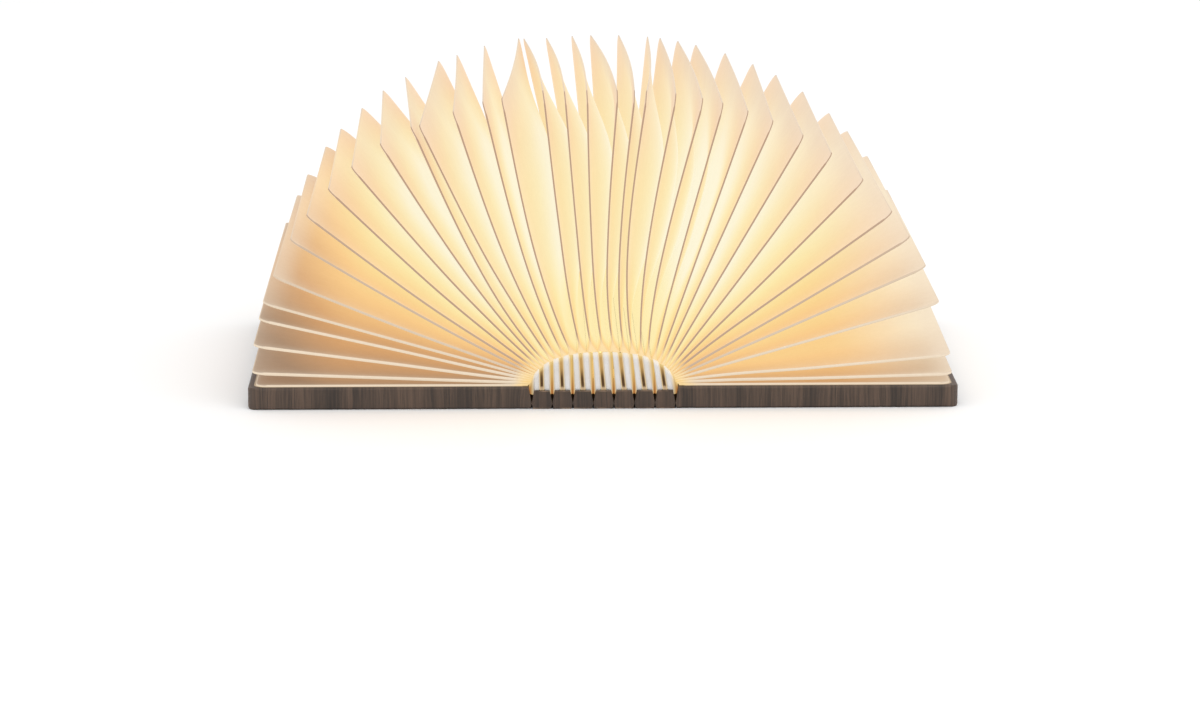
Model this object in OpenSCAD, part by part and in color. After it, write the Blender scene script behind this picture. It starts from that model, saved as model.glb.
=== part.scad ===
// Book lamp, opened flat: two wooden covers, a spine of jointed slats and a fan of lit paper leaves.
// The covers lie on the XY plane, the spine's slats run along Y and the fan stands up along Z.

/* [Covers] */
// Width of one cover, from its hinge line to its outer edge
cover_w = 78; // [60:1:110]
// Depth of the covers and the slats, from front to back
cover_d = 122; // [100:1:160]
// Thickness of a cover
cover_t = 6; // [6:0.1:9]
// Radius of the cover's two outer corners, seen from above
cover_corner_r = 3.2; // [2:0.1:6]
// Width of the flat that eases the cover's long edges
edge_ease = 0.5; // [0.1:0.05:0.8]
// Thickness of the sheet that lines the inside of a cover
liner_t = 0.3; // [0.2:0.05:0.6]
// How far the liner shows around the leaves
liner_border = 0.4; // [0.2:0.1:1]

/* [Spine] */
// Number of slats in the spine
slat_count = 7; // [5:2:7]
// Distance from one hinge line to the next
slat_pitch = 5.65; // [5:0.05:8]
// Thickness of a slat
slat_t = 5; // [4:0.1:6]
// Height of the hinge lines above the ground
hinge_z = 1.5; // [1.2:0.05:2]
// Play between two slats at their hinge line
hinge_play = 0.04; // [0.02:0.01:0.1]
// Turn of each hinge when the covers fold back under the spine, in degrees
back_turn = 24.6; // [18:0.1:26]
// Thickness of the cloth that joins the slats
lining_t = 0.3; // [0.2:0.05:0.5]
// How far the cloth reaches into each cover
lining_tail = 3; // [2:0.5:6]
// Wood that hides the cloth's front and back edges
lining_inset = 1; // [0.5:0.1:3]

/* [Leaves] */
// Number of folded leaves in the fan
leaf_count = 37; // [21:2:37]
// Thickness of one folded leaf
leaf_t = 0.24; // [0.16:0.02:0.3]
// Bare cover left in front of the leaves, behind them and beyond them
leaf_margin = 2; // [1.5:0.1:5]
// Length of the outermost leaves
leaf_len = 75.8; // [50:0.1:100]
// How much shorter the middle leaf is than the outermost ones
mid_leaf_less = 3.8; // [0:0.1:8]
// Radius of a leaf's two outer corners
leaf_corner_r = 5; // [2:0.5:10]
// Lean of the fan's middle to the left, in degrees
fan_lean = 6; // [0:0.5:8]

/* [Dome] */
// Height of the dome that the leaves start from, above its foot
dome_h = 9.2; // [7:0.1:12]
// Height of the dome's foot above a cover's inside
dome_foot = 0.38; // [0.3:0.02:1]
// Gap between the dome's end walls and the leaves
dome_gap = 0.5; // [0.3:0.05:1]
// How far the ribs stand out in front of the leaves
rib_proud = 1.2; // [0.5:0.1:1.4]
// Depth of the ribs, from front to back
rib_d = 2.6; // [1.5:0.1:5]
// Thickness of a rib
rib_w = 1.9; // [1:0.1:2.2]
// Distance between the two ribs on one slat
rib_spacing = 2.9; // [2.2:0.1:3.2]
// Thickness of the strip that carries the two ribs on one slat
rib_foot_t = 0.6; // [0.3:0.1:1]
// Thickness of the wall behind the ribs
web_t = 0.5; // [0.3:0.1:1]
// Lean of the leftmost rib to the left, in degrees
rib_lean_left = 1; // [0:0.5:10]
// Lean of the rightmost rib to the left, in degrees
rib_lean_right = 9; // [0:0.5:10]

/* [Light] */
// Width of the light strip
strip_w = 2.4; // [1.8:0.1:3]
// Thickness of the light strip
strip_t = 0.3; // [0.2:0.1:0.6]
// Number of light chips on the strip
chip_count = 12; // [6:1:16]
// Length of one light chip
chip_l = 2.8; // [1.6:0.1:4]
// Width of one light chip
chip_w = 1.6; // [1:0.1:1.8]
// Height of one light chip
chip_h = 0.7; // [0.4:0.1:1]
// Radius of the diffuser's round part
diffuser_r = 3; // [2.6:0.1:3.2]
// Height of the diffuser's round part above the slat
diffuser_rise = 3.6; // [3:0.1:4]
// Wall of the diffuser
diffuser_wall = 0.6; // [0.4:0.1:0.7]

/* [Electronics] */
// Width of the battery
battery_w = 36; // [30:1:38]
// Depth of the battery
battery_d = 52; // [40:1:56]
// Thickness of the battery
battery_t = 3.6; // [2.5:0.1:3.8]
// Width of the control board
board_w = 27; // [26:0.5:29]
// Depth of the control board
board_d = 27; // [24:0.5:29]
// Thickness of the control board
board_t = 0.8; // [0.6:0.1:1]
// Distance from the battery to the cover's outer edge
battery_edge = 8; // [5:0.5:14]
// Distance from the control board to the cover's outer edge, past the magnets
board_edge = 11; // [10.5:0.5:14]
// Play around each piece in its pocket
pocket_play = 0.3; // [0.1:0.1:0.6]
// Width of the flat cable
cable_w = 6; // [4:0.5:8]
// Thickness of the flat cable
cable_t = 0.15; // [0.1:0.05:0.25]
// Width of the charging socket
socket_w = 8.94; // [8:0.02:9.5]
// Height of the charging socket
socket_h = 3.26; // [3:0.02:3.4]
// Length of the charging socket
socket_len = 7.35; // [6.5:0.05:8]
// Height of the charging socket's middle above the ground
socket_z = 3.3; // [3.1:0.1:3.6]
// Distance from the control board's edge to the middle of the charging socket
socket_at = 10; // [6:0.5:20]
// Radius of a closing magnet
magnet_r = 4; // [3:0.1:4.2]
// Thickness of a closing magnet
magnet_t = 3.5; // [2:0.5:4]
// Distance from the cover's outer edge to the middle of the magnets
magnet_in = 6; // [5:0.5:6.5]
// Distance from the front and back edges to the middle of the closing magnets
magnet_side = 11; // [8:0.5:20]

/* [Hidden] */
// Turn of each hinge when the book is shut: the hinges share a half turn
fold_turn = 180 / (slat_count + 1);
spine_half = slat_count * slat_pitch / 2;
mid_slat = (slat_count + 1) / 2;
mid_leaf = (leaf_count + 1) / 2;
lining_top = hinge_z + lining_t / 2;
lining_low = hinge_z - lining_t / 2;
liner_z = cover_t - liner_t;

// The dome's outline is half an ellipse
dome_z = cover_t + dome_foot;
dome_overhang = 0.125;
dome_a = spine_half + dome_overhang;
// Share of the leaves' starts that are spread evenly over the dome; the rest crowd its two ends
dome_even_share = 0.56;
// The fan's angles follow an odd curve: close in the middle, wide at the sides, close again at the covers
fan_middle_share = 0.54;
fan_side_share = 1.19;
// Clearance between the pasted outermost leaf and the edge of its cover
paste_gap = 0.3;

leaf_d = cover_d - 2 * leaf_margin;
liner_margin = leaf_margin - liner_border;
end_wall_y = leaf_d / 2 + rib_proud;

// The diffuser stands between the two end walls, and the strip lies inside it
light_gap = 0.5;
light_end = 1;
strip_gap = 1;
strip_play = 0.05;
light_len = 2 * (end_wall_y - rib_d - web_t - light_gap);
strip_len = light_len - 2 * (light_end + strip_gap);

// Board, socket and battery stand in a row in the right cover, and the cable meets the middle of the board
lead_len = 1;
lead_r = 0.5;
lead_places = [10, 14];
board_x = spine_half + cover_w - board_edge - board_w;
board_y = cover_d / 2 - socket_len - board_d;
board_mid_y = board_y + board_d / 2;
battery_x = spine_half + cover_w - battery_edge - battery_w;
battery_y = board_y - battery_d - lead_len;
cable_play = 0.2;
cable_overlap = 3;
socket_x = board_x + socket_at;
socket_play = 0.05;
socket_lip = 0.3;
socket_back = 0.8;
tongue_gap = 1.4;
tongue_t = 0.7;

// The reed switch lies on the board; a small magnet in the other cover works it
reed_r = 1;
reed_len = 12;
reed_at = 24;
reed_lift = 0.3;
reed_post = 0.6;
sensor_r = 2.5;
sensor_t = 2;
magnet_floor = 0.9;
magnet_play = 0.05;
magnet_at = cover_w - magnet_in;
magnet_y = cover_d / 2 - magnet_side;
magnet_y_places = [-magnet_y, magnet_y];

function two_digits(k) = k < 10 ? str("0", k) : str(k);
function slat_name(k) = str("slat_", k);
function leaf_name(k) = str("leaf_", two_digits(k));

walnut = [0.33, 0.27, 0.24];
paper = [0.99, 0.92, 0.72];
liner_paper = [0.93, 0.88, 0.80];
rib_white = [0.95, 0.94, 0.92];
cloth = [0.30, 0.22, 0.17];
gold = [0.86, 0.66, 0.30];
board_green = [0.10, 0.35, 0.22];
silver = [0.78, 0.79, 0.80];
milk = [1.0, 0.95, 0.85];

// Half of the groove between two neighbours at height z: it closes when the hinge has turned fully
function flank(z) = hinge_play / 2 + abs(z - hinge_z) * tan((z > hinge_z ? fold_turn : back_turn) / 2);

// Middle of slat k along X
function slat_x(k) = (k - mid_slat) * slat_pitch;

// Place of leaf k in the fan, from -1 at the left cover to 1 at the right one
function leaf_share(k) = (k - mid_leaf) / (mid_leaf - 1);
function fan_share(s) =
    fan_middle_share * s + fan_side_share * pow(s, 3) + (1 - fan_middle_share - fan_side_share) * pow(s, 5);
// Angle of a leaf from upright, positive to the right
function leaf_angle(s) = 90 * fan_share(s) - fan_lean * (1 - pow(s, 4));
function dome_angle(s) =
    90 * sign(s) * (dome_even_share * abs(s) + (1 - dome_even_share) * (1 - pow(1 - abs(s), 3)));
function leaf_start(s) = abs(s) == 1
    ? [sign(s) * (spine_half + flank(cover_t) + paste_gap), cover_t + leaf_t / 2]
    : [dome_a * sin(dome_angle(s)), dome_z + dome_h * cos(dome_angle(s))];
// An outermost leaf is pasted down, so it is shorter by what its start moves outwards
function leaf_length(s) = leaf_len - mid_leaf_less * (1 - abs(s)) - (abs(s) == 1 ? leaf_start(1)[0] - dome_a : 0);

// Extrudes a profile drawn in X and Z along Y, centred
module along_y(d) {
    rotate([90, 0, 0]) translate([0, 0, -d / 2]) linear_extrude(d) children();
}

// A box from two opposite corners
module span(low, high) {
    translate(low) cube(high - low);
}

// Rectangle with two round corners at its +X end
module tongue_2d(length, depth, r) {
    square_y = depth / 2;
    translate([0, -square_y]) square([length - r, depth]);
    translate([0, -square_y + r]) square([length, depth - 2 * r]);
    for (side = [-1, 1]) translate([length - r, side * (square_y - r)]) circle(r, $fn = 48);
}

// Rectangle with round ends
module slot_2d(w, h) {
    r = h / 2;
    square([w - h, h], center = true);
    for (side = [-1, 1]) translate([side * (w / 2 - r), 0]) circle(r, $fn = 48);
}

// Cover outline seen from the front, from its hinge line at 0 to its outer edge
module cover_profile() {
    e = edge_ease;
    polygon([
        [flank(0), 0], [cover_w - e, 0], [cover_w, e], [cover_w, cover_t - e], [cover_w - e, cover_t],
        [flank(cover_t), cover_t], [hinge_play / 2, hinge_z]
    ]);
}

// Cover outline seen from the side
module cover_side_profile() {
    e = edge_ease;
    h = cover_d / 2;
    polygon([
        [-h + e, 0], [h - e, 0], [h, e], [h, cover_t - e],
        [h - e, cover_t], [-h + e, cover_t], [-h, cover_t - e], [-h, e]
    ]);
}

// The plain board of a cover, its hinge line on the Y axis, with the liner's recess and the cloth's slot
module cover_blank() {
    difference() {
        intersection() {
            along_y(cover_d) cover_profile();
            rotate([90, 0, 90]) linear_extrude(cover_w) cover_side_profile();
            linear_extrude(cover_t) tongue_2d(cover_w, cover_d, cover_corner_r);
        }
        translate([flank(cover_t) + liner_margin, 0, liner_z])
            linear_extrude(2 * liner_t)
                tongue_2d(liner_w(), cover_d - 2 * liner_margin, cover_corner_r);
        span(
            [-1, -cover_d / 2 + lining_inset, lining_low],
            [lining_tail, cover_d / 2 - lining_inset, lining_top]
        );
    }
}

function liner_w() = cover_w - flank(cover_t) - 2 * liner_margin;

module liner() {
    translate([flank(cover_t) + liner_margin, 0, liner_z])
        linear_extrude(liner_t)
            tongue_2d(liner_w(), cover_d - 2 * liner_margin, cover_corner_r);
}

module magnet_bores(play) {
    for (y = magnet_y_places)
        translate([magnet_at, y, magnet_floor]) cylinder(h = cover_t, r = magnet_r + play, $fn = 48);
}

module left_cover_board() {
    color(walnut) mirror([1, 0, 0]) translate([spine_half, 0, 0]) difference() {
        cover_blank();
        magnet_bores(magnet_play);
        translate([board_x + reed_at - spine_half, board_mid_y, magnet_floor])
            cylinder(h = cover_t, r = sensor_r + magnet_play, $fn = 48);
    }
}

module right_cover_board() {
    color(walnut) difference() {
        translate([spine_half, 0, 0]) cover_blank();
        translate([spine_half, 0, 0]) magnet_bores(magnet_play);
        // Battery pocket
        span(
            [battery_x - pocket_play, battery_y - pocket_play, lining_top],
            [battery_x + battery_w + pocket_play, board_y - pocket_play, cover_t]
        );
        // Control board pocket
        span(
            [board_x - pocket_play, board_y - 2 * pocket_play, lining_top],
            [board_x + board_w + pocket_play, board_y + board_d, cover_t]
        );
        // Groove for the flat cable
        span(
            [spine_half - 1, board_mid_y - cable_w / 2 - cable_play, lining_top],
            [board_x, board_mid_y + cable_w / 2 + cable_play, lining_top + cable_t + cable_play]
        );
        // Hole for the charging socket
        translate([socket_x, cover_d / 2, socket_z]) rotate([90, 0, 0])
            translate([0, 0, -1]) linear_extrude(socket_len + 1)
                slot_2d(socket_w + 2 * socket_play, socket_h + 2 * socket_play);
    }
}

module left_liner() {
    color(liner_paper) mirror([1, 0, 0]) translate([spine_half, 0, 0]) liner();
}

module right_liner() {
    color(liner_paper) translate([spine_half, 0, 0]) liner();
}

// One slat of the spine, with the cloth's tunnel through it
module slat(k) {
    h = slat_pitch / 2;
    play = hinge_play / 2;
    color(walnut) difference() {
        translate([slat_x(k), 0, 0]) along_y(cover_d) polygon([
            [-h + flank(0), 0], [h - flank(0), 0], [h - play, hinge_z],
            [h - flank(slat_t), slat_t], [-h + flank(slat_t), slat_t], [-h + play, hinge_z]
        ]);
        span(
            [slat_x(k) - slat_pitch, -cover_d / 2 + lining_inset, lining_low],
            [slat_x(k) + slat_pitch, cover_d / 2 - lining_inset, lining_top]
        );
        if (k >= mid_slat) cable_way();
    }
}

// Room for the flat cable: a groove above the cloth, and a slit up through the middle slat
module cable_way() {
    low_y = board_mid_y - cable_w / 2 - cable_play;
    high_y = board_mid_y + cable_w / 2 + cable_play;
    span([-cable_t - cable_play, low_y, lining_low], [spine_half, high_y, lining_top + cable_t + cable_play]);
    span([-cable_t - cable_play, low_y, lining_low], [cable_t + cable_play, high_y, slat_t + 1]);
}

// One folded leaf: a thin plate that starts on the dome and leans with the fan
module leaf(k) {
    s = leaf_share(k);
    p = leaf_start(s);
    color(paper) translate([p[0], 0, p[1]]) rotate([0, leaf_angle(s) - 90, 0])
        translate([0, 0, -leaf_t / 2]) linear_extrude(leaf_t)
            tongue_2d(leaf_length(s), leaf_d, leaf_corner_r);
}

// The cloth that joins the slats and the two covers
module spine_lining() {
    reach = spine_half + lining_tail;
    color(cloth) span(
        [-reach, -cover_d / 2 + lining_inset, lining_low],
        [reach, cover_d / 2 - lining_inset, lining_top]
    );
}

// Half an ellipse that stands on the slats
module dome_2d() {
    steps = 24;
    a = dome_a - dome_gap;
    b = dome_z + dome_h - dome_gap - slat_t - rib_foot_t;
    translate([0, slat_t]) square_base(a);
    translate([0, slat_t + rib_foot_t])
        polygon([for (i = [0 : steps]) [-a * cos(180 * i / steps), b * sin(180 * i / steps)]]);
}

module square_base(a) {
    translate([-a, 0]) square([2 * a, rib_foot_t]);
}

// The pair of ribs on slat k, drawn higher than the dome
module rib_pair_2d(k) {
    foot_half = slat_pitch / 2 - flank(slat_t);
    translate([slat_x(k) - foot_half, slat_t]) square([2 * foot_half, rib_foot_t]);
    for (side = [0, 1]) {
        place = (2 * (k - 1) + side) / (2 * slat_count - 1);
        lean = rib_lean_left + (rib_lean_right - rib_lean_left) * place;
        x = slat_x(k) + (side - 0.5) * rib_spacing;
        rise = 2 * dome_h;
        shift = rise * tan(lean);
        polygon([
            [x - rib_w / 2, slat_t], [x + rib_w / 2, slat_t],
            [x + rib_w / 2 - shift, slat_t + rise], [x - rib_w / 2 - shift, slat_t + rise]
        ]);
    }
}

// The pleated wall that closes the dome at one end: ribs in front of a thin web
module gusset() {
    color(rib_white) {
        translate([0, -end_wall_y + rib_d / 2, 0]) along_y(rib_d) intersection() {
            dome_2d();
            for (k = [1 : slat_count]) rib_pair_2d(k);
        }
        translate([0, -end_wall_y + rib_d + web_t / 2, 0]) along_y(web_t) dome_2d();
    }
}

module gusset_front() {
    gusset();
}

module gusset_back() {
    mirror([0, 1, 0]) gusset();
}

// The strip of light chips along the middle slat
module led_strip() {
    chip_pitch = strip_len / chip_count;
    color(gold) {
        translate([-strip_w / 2, -strip_len / 2, slat_t]) cube([strip_w, strip_len, strip_t]);
        for (i = [0 : chip_count - 1])
            translate([-chip_w / 2, (i + 0.5) * chip_pitch - strip_len / 2 - chip_l / 2, slat_t + strip_t])
                cube([chip_w, chip_l, chip_h]);
    }
}

// Outline of the diffuser: a foot under a round tube, made smaller by inset
module diffuser_2d(inset) {
    foot = strip_w + 2 * strip_play + 2 * diffuser_wall - 2 * inset;
    translate([0, slat_t + diffuser_rise]) circle(diffuser_r - inset, $fn = 64);
    translate([-foot / 2, slat_t]) square([foot, diffuser_rise]);
}

module light_diffuser() {
    color(milk, 0.7) difference() {
        along_y(light_len) diffuser_2d(0);
        along_y(light_len - 2 * light_end) diffuser_2d(diffuser_wall);
    }
}

// The flat cable: up through the middle slat to the light strip, and along the cloth to the board
module flex_cable() {
    low_y = board_mid_y - cable_w / 2;
    high_y = board_mid_y + cable_w / 2;
    color(gold) {
        span([-cable_t / 2, low_y, lining_top], [board_x + cable_overlap, high_y, lining_top + cable_t]);
        span([-cable_t / 2, low_y, lining_top], [cable_t / 2, high_y, slat_t]);
    }
}

// The battery with its two leads to the board
module battery() {
    color(silver) {
        span(
            [battery_x, battery_y, lining_top],
            [battery_x + battery_w, battery_y + battery_d, lining_top + battery_t]
        );
        for (place = lead_places)
            translate([battery_x + place, board_y, lining_top + cable_t + board_t / 2]) rotate([90, 0, 0])
                cylinder(h = lead_len, r = lead_r, $fn = 24);
    }
}

// The control board with its chips: the place, width, depth and height of each
module control_board() {
    z = lining_top + cable_t;
    chips = [[4, 5, 6, 5, 1.2], [12, 5, 4, 4, 1], [4, 14, 3, 6, 1.5], [10, 13, 8, 3, 1], [14, 20, 4, 3, 0.9]];
    color(board_green) {
        span([board_x, board_y, z], [board_x + board_w, board_y + board_d, z + board_t]);
        for (c = chips)
            translate([board_x + c[0], board_y + c[1], z + board_t]) cube([c[2], c[3], c[4]]);
    }
}

// The charging socket: a rounded shell around a flat tongue, open at the back
module charging_socket() {
    color(silver) translate([socket_x, cover_d / 2, socket_z]) rotate([90, 0, 0]) {
        difference() {
            linear_extrude(socket_len) slot_2d(socket_w, socket_h);
            translate([0, 0, -1]) linear_extrude(socket_len - socket_back + 1)
                slot_2d(socket_w - 2 * socket_lip, socket_h - 2 * socket_lip);
        }
        translate([tongue_gap - socket_w / 2, -tongue_t / 2, tongue_gap])
            cube([socket_w - 2 * tongue_gap, tongue_t, socket_len - tongue_gap - socket_back / 2]);
    }
}

// The reed switch on its two posts
module lid_switch() {
    x = board_x + reed_at;
    z = lining_top + cable_t + board_t;
    axis_z = z + reed_r + reed_lift;
    color(silver) {
        translate([x, board_mid_y + reed_len / 2, axis_z]) rotate([90, 0, 0])
            cylinder(h = reed_len, r = reed_r, $fn = 32);
        for (side = [-1, 1])
            translate([x - reed_post / 2, board_mid_y + side * (reed_len + reed_post) / 2 - reed_post / 2, z])
                cube([reed_post, reed_post, axis_z - z + reed_post / 2]);
    }
}

module closing_magnets() {
    for (y = magnet_y_places)
        translate([spine_half + magnet_at, y, magnet_floor]) cylinder(h = magnet_t, r = magnet_r, $fn = 48);
}

module left_magnets() {
    color(silver) mirror([1, 0, 0]) {
        closing_magnets();
        translate([board_x + reed_at, board_mid_y, magnet_floor])
            cylinder(h = sensor_t, r = sensor_r, $fn = 48);
    }
}

module right_magnets() {
    color(silver) closing_magnets();
}

left_cover_board();
right_cover_board();
left_liner();
right_liner();
for (k = [1 : slat_count]) slat(k);
for (k = [1 : leaf_count]) leaf(k);
spine_lining();
gusset_front();
gusset_back();
led_strip();
light_diffuser();
flex_cable();
battery();
control_board();
charging_socket();
lid_switch();
left_magnets();
right_magnets();
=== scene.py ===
import math

import bmesh
import bpy
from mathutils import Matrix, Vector


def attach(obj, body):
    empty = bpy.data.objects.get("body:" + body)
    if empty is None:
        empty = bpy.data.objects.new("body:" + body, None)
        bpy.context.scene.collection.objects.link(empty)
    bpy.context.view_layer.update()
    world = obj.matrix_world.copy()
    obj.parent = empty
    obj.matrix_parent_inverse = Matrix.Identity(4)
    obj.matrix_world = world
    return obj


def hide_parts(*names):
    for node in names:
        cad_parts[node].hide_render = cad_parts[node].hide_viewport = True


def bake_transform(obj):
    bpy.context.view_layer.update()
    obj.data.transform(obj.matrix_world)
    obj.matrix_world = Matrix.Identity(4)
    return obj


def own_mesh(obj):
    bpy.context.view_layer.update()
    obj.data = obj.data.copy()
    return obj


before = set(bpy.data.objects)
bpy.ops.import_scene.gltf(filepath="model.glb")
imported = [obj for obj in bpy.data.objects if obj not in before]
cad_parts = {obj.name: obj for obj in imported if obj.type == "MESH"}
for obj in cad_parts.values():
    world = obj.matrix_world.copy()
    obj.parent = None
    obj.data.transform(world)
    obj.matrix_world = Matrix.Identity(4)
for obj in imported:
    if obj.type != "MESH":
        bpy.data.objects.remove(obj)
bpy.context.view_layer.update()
mm = 0.001

# measures that several pieces share, in millimetres and degrees
lamp = {
    "coverDepth": 122.0,
    "coverHeight": 6.0,
    "slatCount": 7,
    "slatPitch": 5.65,
    "slatHeight": 5.0,
    "hingeHeight": 1.5,
    "hingePlay": 0.02,
    "shutTurn": 22.5,
    "domeFoot": 6.38,
    "domeRise": 9.2,
    "domeHalfWidth": 19.9,
}
spineHalf = lamp["slatCount"] * lamp["slatPitch"] / 2
middleSlat = (lamp["slatCount"] + 1) // 2


def flankWidth(height):
    # how far a slat's or cover's top edge stands back from the hinge line, so that the spine can fold
    return lamp["hingePlay"] + (height - lamp["hingeHeight"]) * math.tan(math.radians(lamp["shutTurn"] / 2))


print("frame loaded,", len(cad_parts), "nodes")


class Wire:
    # a socket of a node tree that can be added, multiplied and so on
    def __init__(self, tree, socket):
        self.tree = tree
        self.socket = socket

    def calc(self, operation, *others):
        node = self.tree.nodes.new("ShaderNodeMath")
        node.operation = operation
        for socket, value in zip(node.inputs, (self,) + others):
            plug(self.tree, socket, value)
        return Wire(self.tree, node.outputs[0])

    def __add__(self, other): return self.calc("ADD", other)
    def __sub__(self, other): return self.calc("SUBTRACT", other)
    def __mul__(self, other): return self.calc("MULTIPLY", other)
    def __truediv__(self, other): return self.calc("DIVIDE", other)
    def __neg__(self): return self.calc("MULTIPLY", -1.0)
    def __pow__(self, other): return self.calc("POWER", other)
    def __radd__(self, other): return self.calc("ADD", other)
    def __rmul__(self, other): return self.calc("MULTIPLY", other)
    def __rsub__(self, other): return (-self).calc("ADD", other)
    def sin(self): return self.calc("SINE")
    def cos(self): return self.calc("COSINE")
    def abs(self): return self.calc("ABSOLUTE")
    def root(self): return self.calc("SQRT")
    def low(self, other): return self.calc("MINIMUM", other)
    def high(self, other): return self.calc("MAXIMUM", other)

    def ramp(self, start, end):
        # smooth step from 0 at start to 1 at end
        node = self.tree.nodes.new("ShaderNodeMapRange")
        node.interpolation_type = "SMOOTHSTEP"
        plug(self.tree, node.inputs["Value"], self)
        plug(self.tree, node.inputs["From Min"], start)
        plug(self.tree, node.inputs["From Max"], end)
        return Wire(self.tree, node.outputs["Result"])


def plug(tree, socket, value):
    if isinstance(value, Wire):
        tree.links.new(value.socket, socket)
    else:
        socket.default_value = value


def addNode(tree, kind, settings=None, **inputs):
    node = tree.nodes.new(kind)
    for key, value in (settings or {}).items():
        setattr(node, key, value)
    for key, value in inputs.items():
        plug(tree, node.inputs[key.replace("_", " ")], value)
    return node


def wireOf(node, name):
    return Wire(node.id_data, node.outputs[name])


def splitXyz(tree, vector):
    node = addNode(tree, "ShaderNodeSeparateXYZ")
    plug(tree, node.inputs[0], vector)
    return [Wire(tree, output) for output in node.outputs]


def joinXyz(tree, x, y, z):
    node = addNode(tree, "ShaderNodeCombineXYZ", X=x, Y=y, Z=z)
    return Wire(tree, node.outputs[0])


def mixColor(tree, share, first, second, blend="MIX"):
    node = addNode(tree, "ShaderNodeMix", {"data_type": "RGBA", "blend_type": blend})
    plug(tree, node.inputs[0], share)
    plug(tree, node.inputs[6], first)
    plug(tree, node.inputs[7], second)
    return Wire(tree, node.outputs[2])


def openTree(kind, name, inputs, outputs):
    # a node tree with named inputs and outputs; returns it with its input wires and its output node
    tree = bpy.data.node_groups.new(name, kind)
    for label, socketKind, value in inputs:
        item = tree.interface.new_socket(name=label, in_out="INPUT", socket_type=socketKind)
        if value is not None:
            item.default_value = value
    for label, socketKind in outputs:
        tree.interface.new_socket(name=label, in_out="OUTPUT", socket_type=socketKind)
    source = tree.nodes.new("NodeGroupInput")
    wires = {label: Wire(tree, source.outputs[label]) for label, _, _ in inputs}
    return tree, wires, tree.nodes.new("NodeGroupOutput")


def color(red, green, blue):
    # sRGB 0-255 to a linear colour
    def linear(value):
        value /= 255
        return value / 12.92 if value <= 0.04045 else ((value + 0.055) / 1.055) ** 2.4
    return (linear(red), linear(green), linear(blue), 1.0)


def objectCoords(tree):
    return Wire(tree, addNode(tree, "ShaderNodeTexCoord").outputs["Object"])


def useGroup(tree, group, **inputs):
    node = tree.nodes.new("ShaderNodeGroup")
    node.node_tree = group
    for key, value in inputs.items():
        plug(tree, node.inputs[key.replace("_", " ")], value)
    return node


def openMaterial(name):
    material = bpy.data.materials.new(name)
    material.use_nodes = True
    tree = material.node_tree
    shader = tree.nodes["Principled BSDF"]
    return material, tree, shader


def addBump(tree, shader, height, strength, distance):
    bump = addNode(tree, "ShaderNodeBump", Height=height, Strength=strength, Distance=distance)
    plug(tree, shader.inputs["Normal"], Wire(tree, bump.outputs[0]))


# the pattern of the wood, before its size and colours are set
grain = {
    "wobbleScale": 60.0,
    "wobble": 0.0016,  # metres that a line wanders sideways
    "wideScale": 0.14,
    "fineShare": 0.55,
    "wideShare": 0.6,
    "toneRange": (0.38, 0.78),
    "poreScale": 2.3,
    "poreRange": (0.6, 0.68),
    "poreColor": (0.02, 0.014, 0.010, 1),
    "wrapRange": (0.6, 0.8),
}


def makeWoodGrainGroup():
    tree, wires, out = openTree("ShaderNodeTree", "woodGrain", [
        ("Vector", "NodeSocketVector", None),
        ("Streaks", "NodeSocketFloat", 1500.0),
        ("Length", "NodeSocketFloat", 45.0),
        ("Dark", "NodeSocketColor", (0.05, 0.03, 0.02, 1)),
        ("Light", "NodeSocketColor", (0.2, 0.15, 0.1, 1)),
        ("Pores", "NodeSocketFloat", 0.5),
    ], [("Color", "NodeSocketColor"), ("Height", "NodeSocketFloat")])
    normal = Wire(tree, addNode(tree, "ShaderNodeTexCoord").outputs["Normal"])
    normalX = splitXyz(tree, normal)[0]
    x, y, z = splitXyz(tree, wires["Vector"])
    # the veneer wraps over the edges, so on the sides its lines stack up along Z
    side = normalX.abs().ramp(*grain["wrapRange"])
    across = x + (z - x) * side
    wobble = addNode(tree, "ShaderNodeTexNoise", Scale=grain["wobbleScale"], Detail=2.0)
    plug(tree, wobble.inputs["Vector"], wires["Vector"])
    shift = (Wire(tree, wobble.outputs[0]) - 0.5) * grain["wobble"]
    place = joinXyz(tree, (across + shift) * wires["Streaks"], y * wires["Length"], z * wires["Length"])
    fine = addNode(tree, "ShaderNodeTexNoise", Scale=1.0, Detail=4.0, Roughness=0.62)
    plug(tree, fine.inputs["Vector"], place)
    wide = addNode(tree, "ShaderNodeTexNoise", Scale=grain["wideScale"], Detail=3.0, Roughness=0.55)
    plug(tree, wide.inputs["Vector"], place)
    tone = Wire(tree, fine.outputs[0]) * grain["fineShare"] + Wire(tree, wide.outputs[0]) * grain["wideShare"]
    tone = tone.ramp(*grain["toneRange"])
    poreNoise = addNode(tree, "ShaderNodeTexNoise", Scale=grain["poreScale"], Detail=1.0)
    plug(tree, poreNoise.inputs["Vector"], place)
    pore = Wire(tree, poreNoise.outputs[0]).ramp(*grain["poreRange"]) * wires["Pores"]
    wood = mixColor(tree, tone, wires["Dark"], wires["Light"])
    wood = mixColor(tree, pore, wood, grain["poreColor"])
    plug(tree, out.inputs["Color"], wood)
    plug(tree, out.inputs["Height"], tone - pore)
    return tree


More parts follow.
